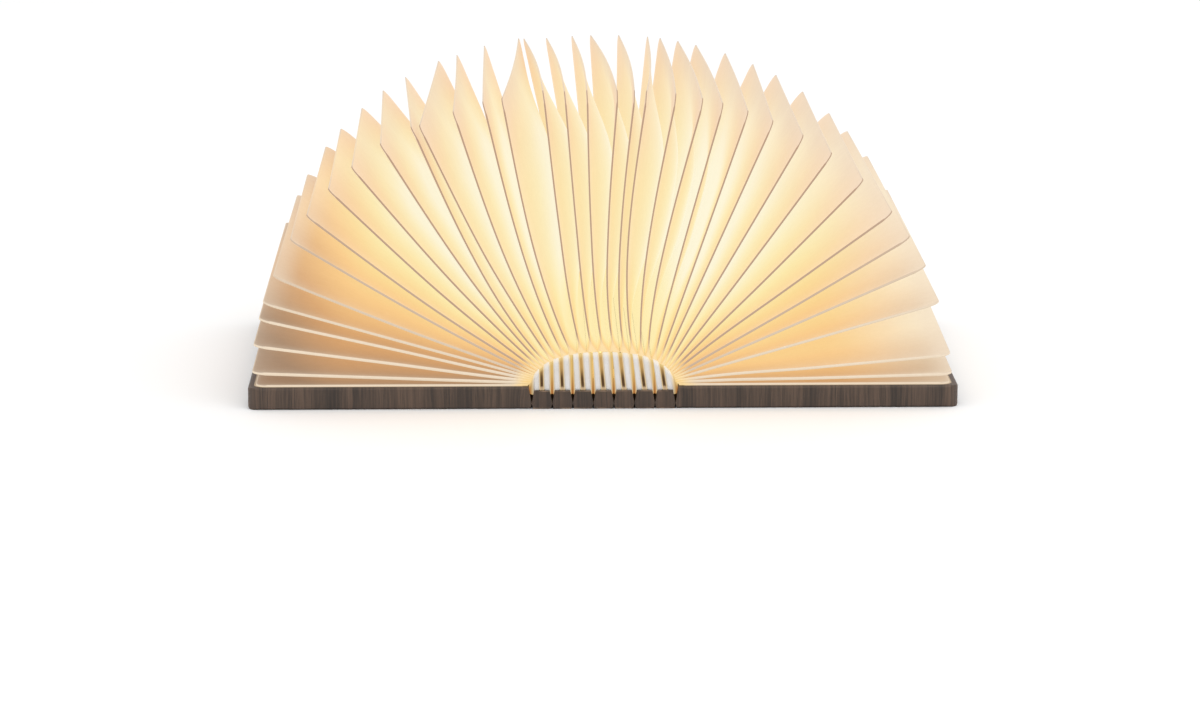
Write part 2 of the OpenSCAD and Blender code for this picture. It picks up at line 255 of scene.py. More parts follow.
def makePaperFibreGroup():
    tree, wires, out = openTree("ShaderNodeTree", "paperFibre", [
        ("Vector", "NodeSocketVector", None),
        ("Scale", "NodeSocketFloat", 900.0),
        ("Cloud Scale", "NodeSocketFloat", 90.0),
    ], [("Fibres", "NodeSocketFloat"), ("Clouds", "NodeSocketFloat")])
    warp = addNode(tree, "ShaderNodeTexNoise", Scale=wires["Scale"] * 0.25, Detail=2.0)
    plug(tree, warp.inputs["Vector"], wires["Vector"])
    fibre = addNode(tree, "ShaderNodeTexNoise", Scale=wires["Scale"], Detail=5.0, Roughness=0.7)
    fibre.inputs["Distortion"].default_value = 1.6
    plug(tree, fibre.inputs["Vector"], wires["Vector"])
    cloud = addNode(tree, "ShaderNodeTexNoise", Scale=wires["Cloud Scale"], Detail=3.0, Roughness=0.5)
    plug(tree, cloud.inputs["Vector"], wires["Vector"])
    plug(tree, out.inputs["Fibres"], Wire(tree, fibre.outputs[0]) * 0.7 + Wire(tree, warp.outputs[0]) * 0.3)
    plug(tree, out.inputs["Clouds"], Wire(tree, cloud.outputs[0]))
    return tree


woodGrain = makeWoodGrainGroup()
paperFibre = makePaperFibreGroup()
print("shader groups ready")


# walnut veneer on the covers and slats, with lighter edges: partly rubbed wear, partly a painted highlight
walnut = {
    "dark": color(44, 34, 27),
    "light": color(94, 74, 60),
    "slatLight": color(84, 65, 52),
    "wornAndHighlit": color(165, 138, 112),
    "streaks": 1500.0,
    "length": 45.0,
    "pores": 0.55,
    "roughness": 0.55,
    "wearAndHighlightWidth": 0.35,
    "wearAndHighlightShare": 0.75,
    "wearAndHighlightScale": 420.0,
    "wearRough": 0.15,
    "bump": 0.25,
    "bumpDepth": 0.0001,
}


def makeWalnut(name, topHeight, light):
    material, tree, shader = openMaterial(name)
    coords = objectCoords(tree)
    veneer = useGroup(tree, woodGrain, Vector=coords, Streaks=walnut["streaks"], Length=walnut["length"],
                      Dark=walnut["dark"], Light=light, Pores=walnut["pores"])
    # the edges along the front and back are lighter, unevenly: partly rubbed wear, partly a painted highlight
    # where the edges catch the light
    y, z = splitXyz(tree, coords)[1:]
    fromEnd = lamp["coverDepth"] / 2 - y.abs() / mm
    fromTop = (topHeight - z / mm).high(0.0)
    wearAndHighlight = 1.0 - fromEnd.high(fromTop.low(z / mm)).ramp(0.0, walnut["wearAndHighlightWidth"])
    patchyEdge = addNode(tree, "ShaderNodeTexNoise", Scale=walnut["wearAndHighlightScale"], Detail=3.0)
    plug(tree, patchyEdge.inputs["Vector"], coords)
    wearAndHighlight = wearAndHighlight * Wire(tree, patchyEdge.outputs[0]).ramp(0.35, 0.65) * walnut["wearAndHighlightShare"]
    plug(tree, shader.inputs["Base Color"], mixColor(tree, wearAndHighlight, wireOf(veneer, "Color"), walnut["wornAndHighlit"]))
    plug(tree, shader.inputs["Roughness"], walnut["roughness"] + wearAndHighlight * walnut["wearRough"])
    addBump(tree, shader, wireOf(veneer, "Height"), walnut["bump"], walnut["bumpDepth"])
    return material


# the folded leaves: each is a double sheet, closed along its outer fold
leaf = {
    "count": 37,
    "depth": 118.0,
    "length": 75.8,
    "middleLess": 3.8,
    "cornerRadius": 3.0,
    "lean": 6.0,
    "middleShare": 0.54,
    "sideShare": 1.19,
    "evenShare": 0.56,
    "thickness": 0.42,
    "lowThickness": 0.85,  # the leaves near the covers gape a little more
    "foldWidth": 0.8,      # the outer fold thins out over this width
    "flareReach": 3.2,     # the sheets part over this length to reach the dome's valleys
    "valleyGap": 0.01,
    "gapeCurve": 1.3,
    "foldShare": 0.55,     # the outer fold keeps this share of the thickness
    "hingeShare": 0.55,    # so much of a leaf's own turn starts at its hinge
    "swellRise": (0.0, 0.45),
    "swellFall": (0.6, 1.0),
    "swellLoss": 0.85,
    "swayPeak": 0.75,
    "endInset": 0.3,       # the first and last leaf are pasted on the liners this far in
    "endHeight": 6.12,
    "endValley": 0.23,
    "cellsAlong": 30,
    "cellsAcross": 44,
    "keep": 0.05,
    # how far each leaf's front and back edge lean from its hinge's angle, in degrees
    "frontTurn": [0, 0.2, 1.8, 2, -0.7, -1.6, -0.3, -1.4, -1.3, -1.4, -0.2, 1, -3.2, -1, 0.4, -0.7, 3.3,
                  2.8, 2.4, 3.8, 2.4, -0.1, 1.2, 1.8, 0.7, 0.4, -0.2, 0.2, 0.2, 1.4, 2.8, 1.3, 0.4, 0.9,
                  5.1, 3, 0],
    "backTurn": [0, 0.8, 1.2, 1, 0.4, 0.4, -1.4, -0.9, -2.6, -2.6, -2.8, -3, -0.2, -1.3, 0.2, 3.3, -0.7,
                 -0.5, 0.4, -0.4, 1.2, 3.1, 0.9, -0.2, -1.4, -0.1, 0.6, -0.2, 0, 0.4, -1.5, -2, -0.8,
                 -0.4, 1.5, 0.9, 0],
    # how far each leaf swells to the right halfway back, in millimetres
    "bow": [0, 0.1, 0.2, -0.1, 0.2, 0.2, -0.2, 0.2, 0.3, -0.1, 0.2, 0.3, 1, 1.6, -0.5, 5.5, 7.5, 7.5, 7.5,
            7.5, 7.5, 7.4, 6.7, 6.5, 5.6, 3.4, 1.2, 0.3, -0.1, 0.2, 0.2, -0.2, 0.1, 0.2, -0.1, 0.1, 0],
    # how far its front edge sways to the right low down, in millimetres
    "sway": [0, 0, 0, 0, 0, -0.6, -1, -1.5, -1.5, -1.5, -2.1, -3.2, -1.9, -2.5, -2.3, -2.5, -1.1, -0.7,
             -1.3, -2.2, -2.4, -3.1, -2.3, -2.1, -0.6, 0.1, 0, 0.1, 0.4, 0.3, -0.3, 0.3, 0, 0, 0, 0, 0],
    # how much longer or shorter it is cut than the others, in millimetres
    "longer": [0, 1.2, 1.6, 1.6, 1.9, 1.8, 2, 2, 2, 1.9, 2, 1.6, 1.2, 0.8, 0.8, 0.6, 0.5, -0.15, -0.05,
               -0.15, -0.15, -0.05, 0, 0, 0, 0, 0, 0.2, 0.3, 0.3, 0.4, 0.5, 0.6, 0.5, 0.8, 0.8, 0],
}


def leafShare(k):
    # from -1 at the left cover to 1 at the right one
    middle = (leaf["count"] + 1) / 2
    return (k - middle) / (middle - 1)


def leafLean(k):
    # degrees from upright, to the right
    s = leafShare(k)
    fifth = 1 - leaf["middleShare"] - leaf["sideShare"]
    fan = leaf["middleShare"] * s + leaf["sideShare"] * s ** 3 + fifth * s ** 5
    return 90 * fan - leaf["lean"] * (1 - s ** 4)


def leafStart(k):
    # where the leaf leaves the dome, as x and z
    s = leafShare(k)
    side = math.copysign(1, s)
    if abs(s) == 1:
        endX = spineHalf + flankWidth(lamp["coverHeight"]) + leaf["endInset"]
        return Vector((side * endX, leaf["endHeight"]))
    crowded = 1 - (1 - abs(s)) ** 3
    turn = math.radians(90 * side * (leaf["evenShare"] * abs(s) + (1 - leaf["evenShare"]) * crowded))
    startZ = lamp["domeFoot"] + lamp["domeRise"] * math.cos(turn)
    return Vector((lamp["domeHalfWidth"] * math.sin(turn), startZ))


def leafLength(k):
    s = leafShare(k)
    length = leaf["length"] - leaf["middleLess"] * (1 - abs(s))
    if abs(s) == 1:
        length -= leafStart(leaf["count"]).x - lamp["domeHalfWidth"]
    return length


def leafThickness(k):
    low = (1 - math.cos(math.radians(leafLean(k)))) ** leaf["gapeCurve"]
    return leaf["thickness"] + (leaf["lowThickness"] - leaf["thickness"]) * low


def startForm(tree, cellsX, cellsY, cellsZ):
    # a block of one unit, to be bent into shape, and the wires of its points' places
    block = addNode(tree, "GeometryNodeMeshCube", Vertices_X=cellsX, Vertices_Y=cellsY, Vertices_Z=cellsZ)
    block.inputs["Size"].default_value = (1, 1, 1)
    place = Wire(tree, addNode(tree, "GeometryNodeInputPosition").outputs[0])
    return Wire(tree, block.outputs["Mesh"]), splitXyz(tree, place)


def endForm(tree, out, mesh, values, target, material):
    # the values that the paper's colours follow are kept before the points move to their target
    for name, value in values.items():
        store = addNode(tree, "GeometryNodeStoreNamedAttribute", {"data_type": "FLOAT", "domain": "POINT"},
                        Geometry=mesh, Name=name, Value=value)
        mesh = Wire(tree, store.outputs[0])
    shape = addNode(tree, "GeometryNodeSetPosition", Geometry=mesh, Position=target)
    smooth = addNode(tree, "GeometryNodeSetShadeSmooth", Geometry=Wire(tree, shape.outputs[0]),
                     Shade_Smooth=True)
    realize = addNode(tree, "GeometryNodeRealizeInstances", Geometry=Wire(tree, smooth.outputs[0]))
    paint = addNode(tree, "GeometryNodeSetMaterial", Geometry=Wire(tree, realize.outputs[0]),
                    Material=material)
    plug(tree, out.inputs["Geometry"], Wire(tree, paint.outputs[0]))


def makeLeafTree():
    tree, wires, out = openTree("GeometryNodeTree", "leafForm", [
        ("Geometry", "NodeSocketGeometry", None),
        ("Length", "NodeSocketFloat", 75.0),
        ("Depth", "NodeSocketFloat", 118.0),
        ("Corner Radius", "NodeSocketFloat", 5.0),
        ("Thickness", "NodeSocketFloat", 0.5),
        ("Fold Width", "NodeSocketFloat", 1.3),
        ("Flare Reach", "NodeSocketFloat", 9.0),
        ("Left Valley", "NodeSocketFloat", 0.5),
        ("Left Rise", "NodeSocketFloat", 0.0),
        ("Right Valley", "NodeSocketFloat", 0.5),
        ("Right Rise", "NodeSocketFloat", 0.0),
        ("Start X", "NodeSocketFloat", 0.0),
        ("Start Z", "NodeSocketFloat", 0.0),
        ("Lean", "NodeSocketFloat", 0.0),
        ("Front Turn", "NodeSocketFloat", 0.0),
        ("Back Turn", "NodeSocketFloat", 0.0),
        ("Bow", "NodeSocketFloat", 0.0),
        ("Sway", "NodeSocketFloat", 0.0),
        ("Cells Along", "NodeSocketInt", 30),
        ("Cells Across", "NodeSocketInt", 44),
        ("Material", "NodeSocketMaterial", None),
    ], [("Geometry", "NodeSocketGeometry")])
    block, (u, v, w) = startForm(tree, wires["Cells Along"], wires["Cells Across"], 2)
    # cells crowd at both ends, where the corners and the flare need them
    along = (1.0 - ((u + 0.5) * math.pi).cos()) * 0.5
    across = (v * math.pi).sin()
    half = wires["Depth"] * 0.5
    y = across * half
    radius = wires["Corner Radius"]
    over = (y.abs() - (half - radius)).high(0.0).low(radius)
    cut = radius - (radius * radius - over * over).high(0.0).root()
    reach = along * (wires["Length"] - cut)
    fromFold = (wires["Length"] - cut) - reach
    thin = 1.0 - (1.0 - (fromFold / wires["Fold Width"]).low(1.0)) ** 2.0
    halfThick = wires["Thickness"] * 0.5 * (leaf["foldShare"] + (1 - leaf["foldShare"]) * thin)
    flare = 1.0 - (reach / wires["Flare Reach"]).low(1.0)
    flare = flare * flare
    right = w.calc("GREATER_THAN", 0.0)
    valley = wires["Left Valley"] + (wires["Right Valley"] - wires["Left Valley"]) * right
    rise = wires["Left Rise"] + (wires["Right Rise"] - wires["Left Rise"]) * right
    offset = (halfThick + (valley - halfThick) * flare) * (w * 2.0)
    share = (y / wires["Depth"]) + 0.5
    swing = (reach / wires["Length"]).ramp(0.0, 0.5)
    turn = wires["Front Turn"] + (wires["Back Turn"] - wires["Front Turn"]) * share
    angle = (wires["Lean"] + turn * (leaf["hingeShare"] + (1 - leaf["hingeShare"]) * swing)) * (math.pi / 180)
    # halfway back the leaf swells sideways, most in its lower two thirds
    swell = (share * math.pi).sin() * along.ramp(*leaf["swellRise"])
    swell = swell * (1.0 - leaf["swellLoss"] * along.ramp(*leaf["swellFall"]))
    lowSway = (along ** leaf["swayPeak"] * math.pi).sin() * (1.0 - share) ** 2.0
    offset = offset + wires["Bow"] * swell + wires["Sway"] * lowSway
    up = reach + rise * flare
    x = wires["Start X"] + angle.sin() * up + angle.cos() * offset
    z = wires["Start Z"] + angle.cos() * up - angle.sin() * offset
    target = joinXyz(tree, x * mm, y * mm, z * mm)
    # millimetres from the dome, from the outer fold and from the open edges, and how upright the leaf is
    inset = half - y.abs()
    height = (wires["Lean"] * (math.pi / 180)).cos()
    values = {"reach": reach, "fromFold": fromFold, "inset": inset, "height": height}
    endForm(tree, out, block, values, target, wires["Material"])
    return tree


def growPiece(name, tree, values):
    # runs a geometry tree on an empty mesh and returns the result as a plain mesh object
    carrier = bpy.data.objects.new("carrier", bpy.data.meshes.new("carrier"))
    bpy.context.scene.collection.objects.link(carrier)
    modifier = carrier.modifiers.new("form", "NODES")
    modifier.node_group = tree
    for item in tree.interface.items_tree:
        if item.item_type == "SOCKET" and item.in_out == "INPUT" and item.name in values:
            modifier[item.identifier] = values[item.name]
    bpy.context.view_layer.update()
    grown = carrier.evaluated_get(bpy.context.evaluated_depsgraph_get())
    mesh = bpy.data.meshes.new_from_object(grown)
    mesh.name = name
    piece = bpy.data.objects.new(name, mesh)
    bpy.context.scene.collection.objects.link(piece)
    carrier.modifiers.remove(modifier)
    bpy.data.objects.remove(carrier)
    closeMesh(piece)
    return piece


def closeMesh(piece):
    shape = bmesh.new()
    shape.from_mesh(piece.data)
    bmesh.ops.remove_doubles(shape, verts=shape.verts, dist=0.000002)
    bmesh.ops.recalc_face_normals(shape, faces=shape.faces)
    shape.to_mesh(piece.data)
    shape.free()


# the leaves' painted glow and painted shade: emission colours stand in for the lamp's light coming through
# the paper
leafPaper = {
    "fibreScale": 1400.0,
    "cloudScale": 70.0,
    "cloudReach": 5.0,  # millimetres by which the cloudy pattern shifts the colours along a leaf
    "cloudInset": 2.0,
    "base": (0.29, 0.27, 0.23, 1),
    "tintLow": (0.86, 0.84, 0.80, 1),
    "roughness": 0.78,
    "specular": 0.25,
    "bump": 0.2,
    "bumpDepth": 0.00008,
    "strength": 0.70,
    # how much light a leaf lets through: when it lies flat, and how much more as it stands up
    "leftLow": 0.18,
    "leftMore": 0.93,
    "leftFull": 0.74,
    "rightLow": 0.37,
    "rightMore": 0.9,
    "rightFull": 0.25,
    "rightUpright": 0.27,
    # what it loses close to the dome and towards its tip, each over a range of millimetres
    "domeRange": (0.0, 30.0),
    "domeLoss": 0.06,
    "domeLossUpright": 0.14,
    "tipRange": (50.0, 78.0),
    "tipLoss": 0.28,
    "tipLossRight": -0.16,
    # how far back the shade beside its own front edge goes, and how dark it gets
    "spanLow": 0.35,
    "spanUpright": 0.7,
    "spanTop": 12.0,
    "spanLeast": 2.0,
    "edgeCurve": 1.4,
    "edgeGain": 0.07,
    "edgeGainUpright": 0.10,
    "edgeLoss": 0.19,
    "edgeLossUpright": 0.08,
    "peachShare": 0.4,
    "foldPaleShare": 0.55,
    "foldLineShare": 0.8,
    # the paper's colour as more and more of the lamp's light comes through it
    "warmth": [(0.0, color(158, 126, 100)), (0.15, color(188, 147, 110)), (0.3, color(213, 162, 112)),
               (0.42, color(233, 184, 126)), (0.55, color(250, 203, 139)), (0.68, color(253, 220, 152)),
               (0.8, color(254, 236, 173)), (0.9, color(254, 243, 196)), (1.0, color(254, 249, 224))],
    "tipDim": color(212, 186, 158),
    "tipLit": color(254, 240, 210),
    "tipEdge": color(244, 216, 184),
    "tipEnd": color(230, 207, 184),
    "peach": color(250, 210, 174),
    "foldPale": color(236, 216, 192),
    "rimShadeBase": (0.06, 0.05, 0.04, 1),
    "rimHigh": color(208, 170, 142),
    "rimDome": color(255, 216, 140),
    "foldLine": color(214, 192, 168),
    "rimLow": color(236, 214, 186),
}


def attributeWire(tree, name):
    node = addNode(tree, "ShaderNodeAttribute", {"attribute_name": name})
    return Wire(tree, node.outputs["Fac"])


def colorStops(tree, value, stops):
    node = addNode(tree, "ShaderNodeValToRGB")
    ramp = node.color_ramp
    while len(ramp.elements) < len(stops):
        ramp.elements.new(0.5)
    for element, (place, stop) in zip(ramp.elements, stops):
        element.position = place
        element.color = stop
    plug(tree, node.inputs[0], value)
    return Wire(tree, node.outputs[0])


def makeLeafPaper():
    # the emission is painted glow standing in for the lamp's light shining through the paper, with painted
    # shade where less of it comes through
    material, tree, shader = openMaterial("leafPaper")
    p = leafPaper
    coords = objectCoords(tree)
    x = splitXyz(tree, coords)[0]
    reach = attributeWire(tree, "reach")
    inset = attributeWire(tree, "inset")
    fromFold = attributeWire(tree, "fromFold")
    height = attributeWire(tree, "height")
    fibre = useGroup(tree, paperFibre, Vector=coords, Scale=p["fibreScale"], Cloud_Scale=p["cloudScale"])
    clouds = wireOf(fibre, "Clouds") - 0.5
    reach = reach + clouds * p["cloudReach"]
    inset = (inset + clouds * p["cloudInset"]).high(0.0)
    # upright leaves let most light through, low ones little, and those on the left the least
    right = x.ramp(-0.02, 0.02)
    upright = height.ramp(0.3, 0.9)
    leftLight = p["leftLow"] + p["leftMore"] * height.low(p["leftFull"])
    rightLight = p["rightLow"] + p["rightMore"] * height.low(p["rightFull"]) + p["rightUpright"] * upright
    light = leftLight + (rightLight - leftLight) * right
    domeLoss = p["domeLoss"] + p["domeLossUpright"] * height.ramp(0.0, 0.8)
    light = light - (1.0 - reach.ramp(*p["domeRange"])) * domeLoss
    light = light - reach.ramp(*p["tipRange"]) * (p["tipLoss"] + p["tipLossRight"] * right)
    # painted shade: each leaf is dimmer and pinker beside its own front edge, and its painted glow brightens
    # towards the next leaf's edge
    span = reach * (p["spanLow"] + p["spanUpright"] * height) + p["spanTop"] * height.ramp(0.84, 1.0)
    span = span + p["spanLeast"]
    depthShare = (inset / span).low(1.0)
    nearEdge = (1.0 - depthShare) ** p["edgeCurve"]
    light = light + p["edgeGain"] + p["edgeGainUpright"] * upright
    light = light - nearEdge * (p["edgeLoss"] + p["edgeLossUpright"] * upright)
    glow = colorStops(tree, light, p["warmth"])
    # towards the tip the painted glow fades to paler, dimmer colours
    tip = mixColor(tree, depthShare, p["tipEdge"], p["tipLit"])
    tip = mixColor(tree, light.ramp(0.25, 0.6), p["tipDim"], tip)
    tip = mixColor(tree, reach.ramp(62.0, 76.0) * upright, tip, p["tipEnd"])
    tipShare = reach.ramp(42.0, 76.0) * (right + (1.0 - right) * height.ramp(0.45, 0.95) * 0.8)
    glow = mixColor(tree, tipShare, glow, tip)
    # painted shade: a peach tint beside the front edge of upright leaves
    peachShare = nearEdge * nearEdge * reach.ramp(8.0, 24.0) * upright * p["peachShare"]
    glow = mixColor(tree, peachShare, glow, p["peach"])
    # low leaves look pale along the outer fold, where the studio's light shines through
    foldShare = (1.0 - fromFold.ramp(1.0, 8.0)) * (1.0 - height.ramp(0.35, 0.75))
    leftFold = height.ramp(0.15, 0.45)
    foldShare = foldShare * (leftFold + (height.ramp(0.0, 0.12) - leftFold) * right)
    glow = mixColor(tree, foldShare * p["foldPaleShare"], glow, p["foldPale"])
    # the cut rims look into the fold: painted shade high up, and a painted highlight low down where they
    # catch the studio's light
    edge = attributeWire(tree, "inset")
    rim = (1.0 - edge.low(fromFold).ramp(0.02, 0.10)) * (1.0 - edge.ramp(2.0, 6.0))
    rimColor = mixColor(tree, height.ramp(0.25, 0.75), p["rimLow"], p["rimHigh"])
    # painted glow on the rims close to the dome
    nearDome = 1.0 - reach.ramp(1.0, 6.0)
    rimColor = mixColor(tree, nearDome, rimColor, p["rimDome"])
    # painted shade: a greyish line along the outer fold, weaker towards the middle of the depth
    foldLine = (1.0 - fromFold.ramp(0.05, 0.45)) * (1.0 - 0.6 * edge.ramp(8.0, 30.0))
    glow = mixColor(tree, foldLine * p["foldLineShare"], glow, p["foldLine"])
    glow = mixColor(tree, rim, glow, rimColor)
    plug(tree, shader.inputs["Emission Color"], glow)
    shader.inputs["Emission Strength"].default_value = p["strength"]
    tint = mixColor(tree, wireOf(fibre, "Fibres").ramp(0.3, 0.75), p["tintLow"], (1, 1, 1, 1))
    # painted shade: the rims high up get a dark base colour
    rimShade = rim * height.ramp(0.1, 0.7) * (1.0 - nearDome)
    body = mixColor(tree, rimShade, p["base"], p["rimShadeBase"])
    plug(tree, shader.inputs["Base Color"], mixColor(tree, 1.0, body, tint, "MULTIPLY"))
    shader.inputs["Roughness"].default_value = p["roughness"]
    shader.inputs["Specular IOR Level"].default_value = p["specular"]
    addBump(tree, shader, wireOf(fibre, "Fibres"), p["bump"], p["bumpDepth"])
    return material


def valleyToward(k, other):
    # where the fold between two leaves lies, as seen from leaf k: sideways and along it
    lean = math.radians(leafLean(k))
    step = (leafStart(other) - leafStart(k)) / 2
    side = abs(step.x * math.cos(lean) - step.y * math.sin(lean))
    rise = step.x * math.sin(lean) + step.y * math.cos(lean)
    return max(side - leaf["valleyGap"], leafThickness(k) / 2), rise


def makeLeaves(paper):
    tree = makeLeafTree()
    for k in range(1, leaf["count"] + 1):
        start = leafStart(k)
        left = valleyToward(k, k - 1) if k > 1 else (leaf["endValley"], 0.0)
        right = valleyToward(k, k + 1) if k < leaf["count"] else (leaf["endValley"], 0.0)
        values = {
            "Length": leafLength(k) + leaf["longer"][k - 1], "Depth": leaf["depth"],
            "Corner Radius": leaf["cornerRadius"], "Thickness": leafThickness(k),
            "Fold Width": leaf["foldWidth"], "Flare Reach": leaf["flareReach"],
            "Left Valley": left[0], "Left Rise": left[1], "Right Valley": right[0], "Right Rise": right[1],
            "Start X": start.x, "Start Z": start.y, "Lean": leafLean(k),
            "Front Turn": float(leaf["frontTurn"][k - 1]), "Back Turn": float(leaf["backTurn"][k - 1]),
            "Bow": float(leaf["bow"][k - 1]), "Sway": float(leaf["sway"][k - 1]),
            "Cells Along": leaf["cellsAlong"], "Cells Across": leaf["cellsAcross"], "Material": paper,
        }
        name = f"leaf_{k:02d}"
        piece = growPiece(f"paper_{name}", tree, values)
        ends = {1: "left_cover", leaf["count"]: "right_cover"}
        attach(piece, ends.get(k, name))
        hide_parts(name)
        if k not in ends:
            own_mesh(piece)
    print("leaves made:", leaf["count"])


# the pleated end walls of the dome, with a pair of ribs on each slat
pleats = {
    "spacing": 2.9,
    "ribWidth": 1.9,
    "sideWidth": 0.42,
    "wallDepth": 2.5,
    "frontY": 60.2,
    "backThickness": 0.5,
    "halfWidth": 2.80,
    "topA": 20.2,
    "topB": 9.82,
    "scallop": 0.55,
    "endReach": 0.75,      # the first and last wall reach this much further, over the hinge to the cover
    "footHeight": 0.6,
    "grooveDrop": 1.5,
    "domePower": 2.6,
    "flatShare": 0.45,     # so much of half a rib's width is flat
    "innerRange": (0.45, 0.75),
    "sideRange": (0.75, 1.0),
    "crestRound": 0.9,
    "crestFrom": 0.8,
    "footSink": 0.9,
    "leanFirst": 1.0,
    "leanLast": 9.0,
    "cellsWide": 61,
    "cellsHigh": 20,
    "keep": 0.02,
}


def domeArch(share):
    # the dome's height, as a share, at a share of its half width
    return (1.0 - share.abs() ** pleats["domePower"]).high(0.02).root()


def makePleatTree():
    tree, wires, out = openTree("GeometryNodeTree", "pleatForm", [
        ("Geometry", "NodeSocketGeometry", None),
        ("Centre X", "NodeSocketFloat", 0.0),
        ("Half Width", "NodeSocketFloat", 2.8),
        ("Half Top", "NodeSocketFloat", 2.1),
        ("Spacing", "NodeSocketFloat", 2.9),
        ("Rib Width", "NodeSocketFloat", 1.7),
        ("Side Width", "NodeSocketFloat", 0.4),
        ("Depth", "NodeSocketFloat", 2.5),
        ("Front Y", "NodeSocketFloat", 60.2),
        ("Wall", "NodeSocketFloat", 0.5),
        ("Slat Top", "NodeSocketFloat", 5.0),
        ("Foot", "NodeSocketFloat", 0.6),
        ("Dome A", "NodeSocketFloat", 19.4),
        ("Dome B", "NodeSocketFloat", 9.48),
        ("Scallop", "NodeSocketFloat", 0.5),
        ("Left End", "NodeSocketFloat", 0.0),
        ("Right End", "NodeSocketFloat", 0.0),
        ("Groove Drop", "NodeSocketFloat", 1.2),
        ("First Lean", "NodeSocketFloat", 1.0),
        ("Second Lean", "NodeSocketFloat", 1.0),
        ("Facing", "NodeSocketFloat", -1.0),
        ("Cells Wide", "NodeSocketInt", 61),
        ("Cells High", "NodeSocketInt", 20),
        ("Material", "NodeSocketMaterial", None),
    ], [("Geometry", "NodeSocketGeometry")])
    block, (u, v, w) = startForm(tree, wires["Cells Wide"], 2, wires["Cells High"])
    footX = u * 2.0 * wires["Half Width"]
    share = w + 0.5
    second = footX.calc("GREATER_THAN", 0.0)
    # how far each point stands from the middle of its own rib
    fromRib = (footX.abs() - wires["Spacing"] * 0.5).abs()
    halfRib = wires["Rib Width"] * 0.5
    flat = pleats["flatShare"]
    fold = (fromRib - halfRib * flat) / (halfRib * (1 - flat) + wires["Side Width"])
    fold = fold.ramp(0.0, 1.0)
    inner = 1.0 - footX.abs().ramp(*pleats["innerRange"])
    # the ribs lean, but the wall's two sides stay upright
    lean = wires["First Lean"] + (wires["Second Lean"] - wires["First Lean"]) * second
    slope = (lean * (math.pi / 180)).calc("TANGENT")
    keepSide = 1.0 - (footX.abs() / wires["Half Width"]).ramp(*pleats["sideRange"])
    leftEnd = (-footX).ramp(wires["Half Top"], wires["Half Width"]) * wires["Left End"]
    rightEnd = footX.ramp(wires["Half Top"], wires["Half Width"]) * wires["Right End"]
    domeX = wires["Centre X"] + footX + rightEnd - leftEnd
    roughTop = domeArch(domeX / wires["Dome A"]) * wires["Dome B"]
    topX = domeX - roughTop * slope * keepSide
    arch = domeArch(topX / wires["Dome A"])
    topZ = wires["Slat Top"] + wires["Foot"] + wires["Dome B"] * arch - wires["Scallop"] * fold * fold
    outside = footX.abs().ramp(wires["Half Top"] - 0.05, wires["Half Top"] + 0.1)
    bottomZ = wires["Slat Top"] - wires["Groove Drop"] * outside
    z = bottomZ + (topZ - bottomZ) * share
    rise = z - wires["Slat Top"]
    x = domeX - rise.high(0.0) * slope * keepSide
    footShare = 1.0 - rise.ramp(wires["Foot"] * 0.8, wires["Foot"] * 1.2)
    nearTop = (share - pleats["crestFrom"]) * (1 / (1 - pleats["crestFrom"]))
    crest = nearTop.high(0.0) ** 2.0 * pleats["crestRound"]
    front = (fold * (1.0 - footShare * inner * pleats["footSink"])) * wires["Depth"] + crest * (1.0 - fold)
    isBack = (v * 2.0 + 1.0) * 0.5
    deep = front + (wires["Depth"] + wires["Wall"] - front) * isBack
    y = (wires["Front Y"] - deep) * wires["Facing"]
    target = joinXyz(tree, x * mm, y * mm, z * mm)
    values = {"fold": fold, "inner": inner, "rise": rise, "toTop": topZ - z}
    endForm(tree, out, block, values, target, wires["Material"])
    return tree


# the ribs' colours are painted glow: emission stands in for the lamp's light shining through the pleats, with
# painted shade deep in the valleys
ribPaper = {
    "front": color(104, 102, 99),
    "side": color(214, 184, 128),
    "innerLowShade": color(70, 40, 18),
    "innerHigh": color(196, 154, 90),
    "outerLow": color(184, 118, 58),
    "outerHigh": color(232, 192, 112),
    "foot": color(190, 160, 126),
    "top": color(248, 220, 150),
    "base": (0.60, 0.59, 0.585, 1),
    "valleyShadeBase": (0.10, 0.08, 0.05, 1),
    "tintLow": (0.93, 0.91, 0.88, 1),
    "fibreScale": 1200.0,
    "cloudScale": 260.0,
    "strength": 0.8,
    "roughness": 0.7,
    "bump": 0.25,
    "bumpDepth": 0.00006,
}


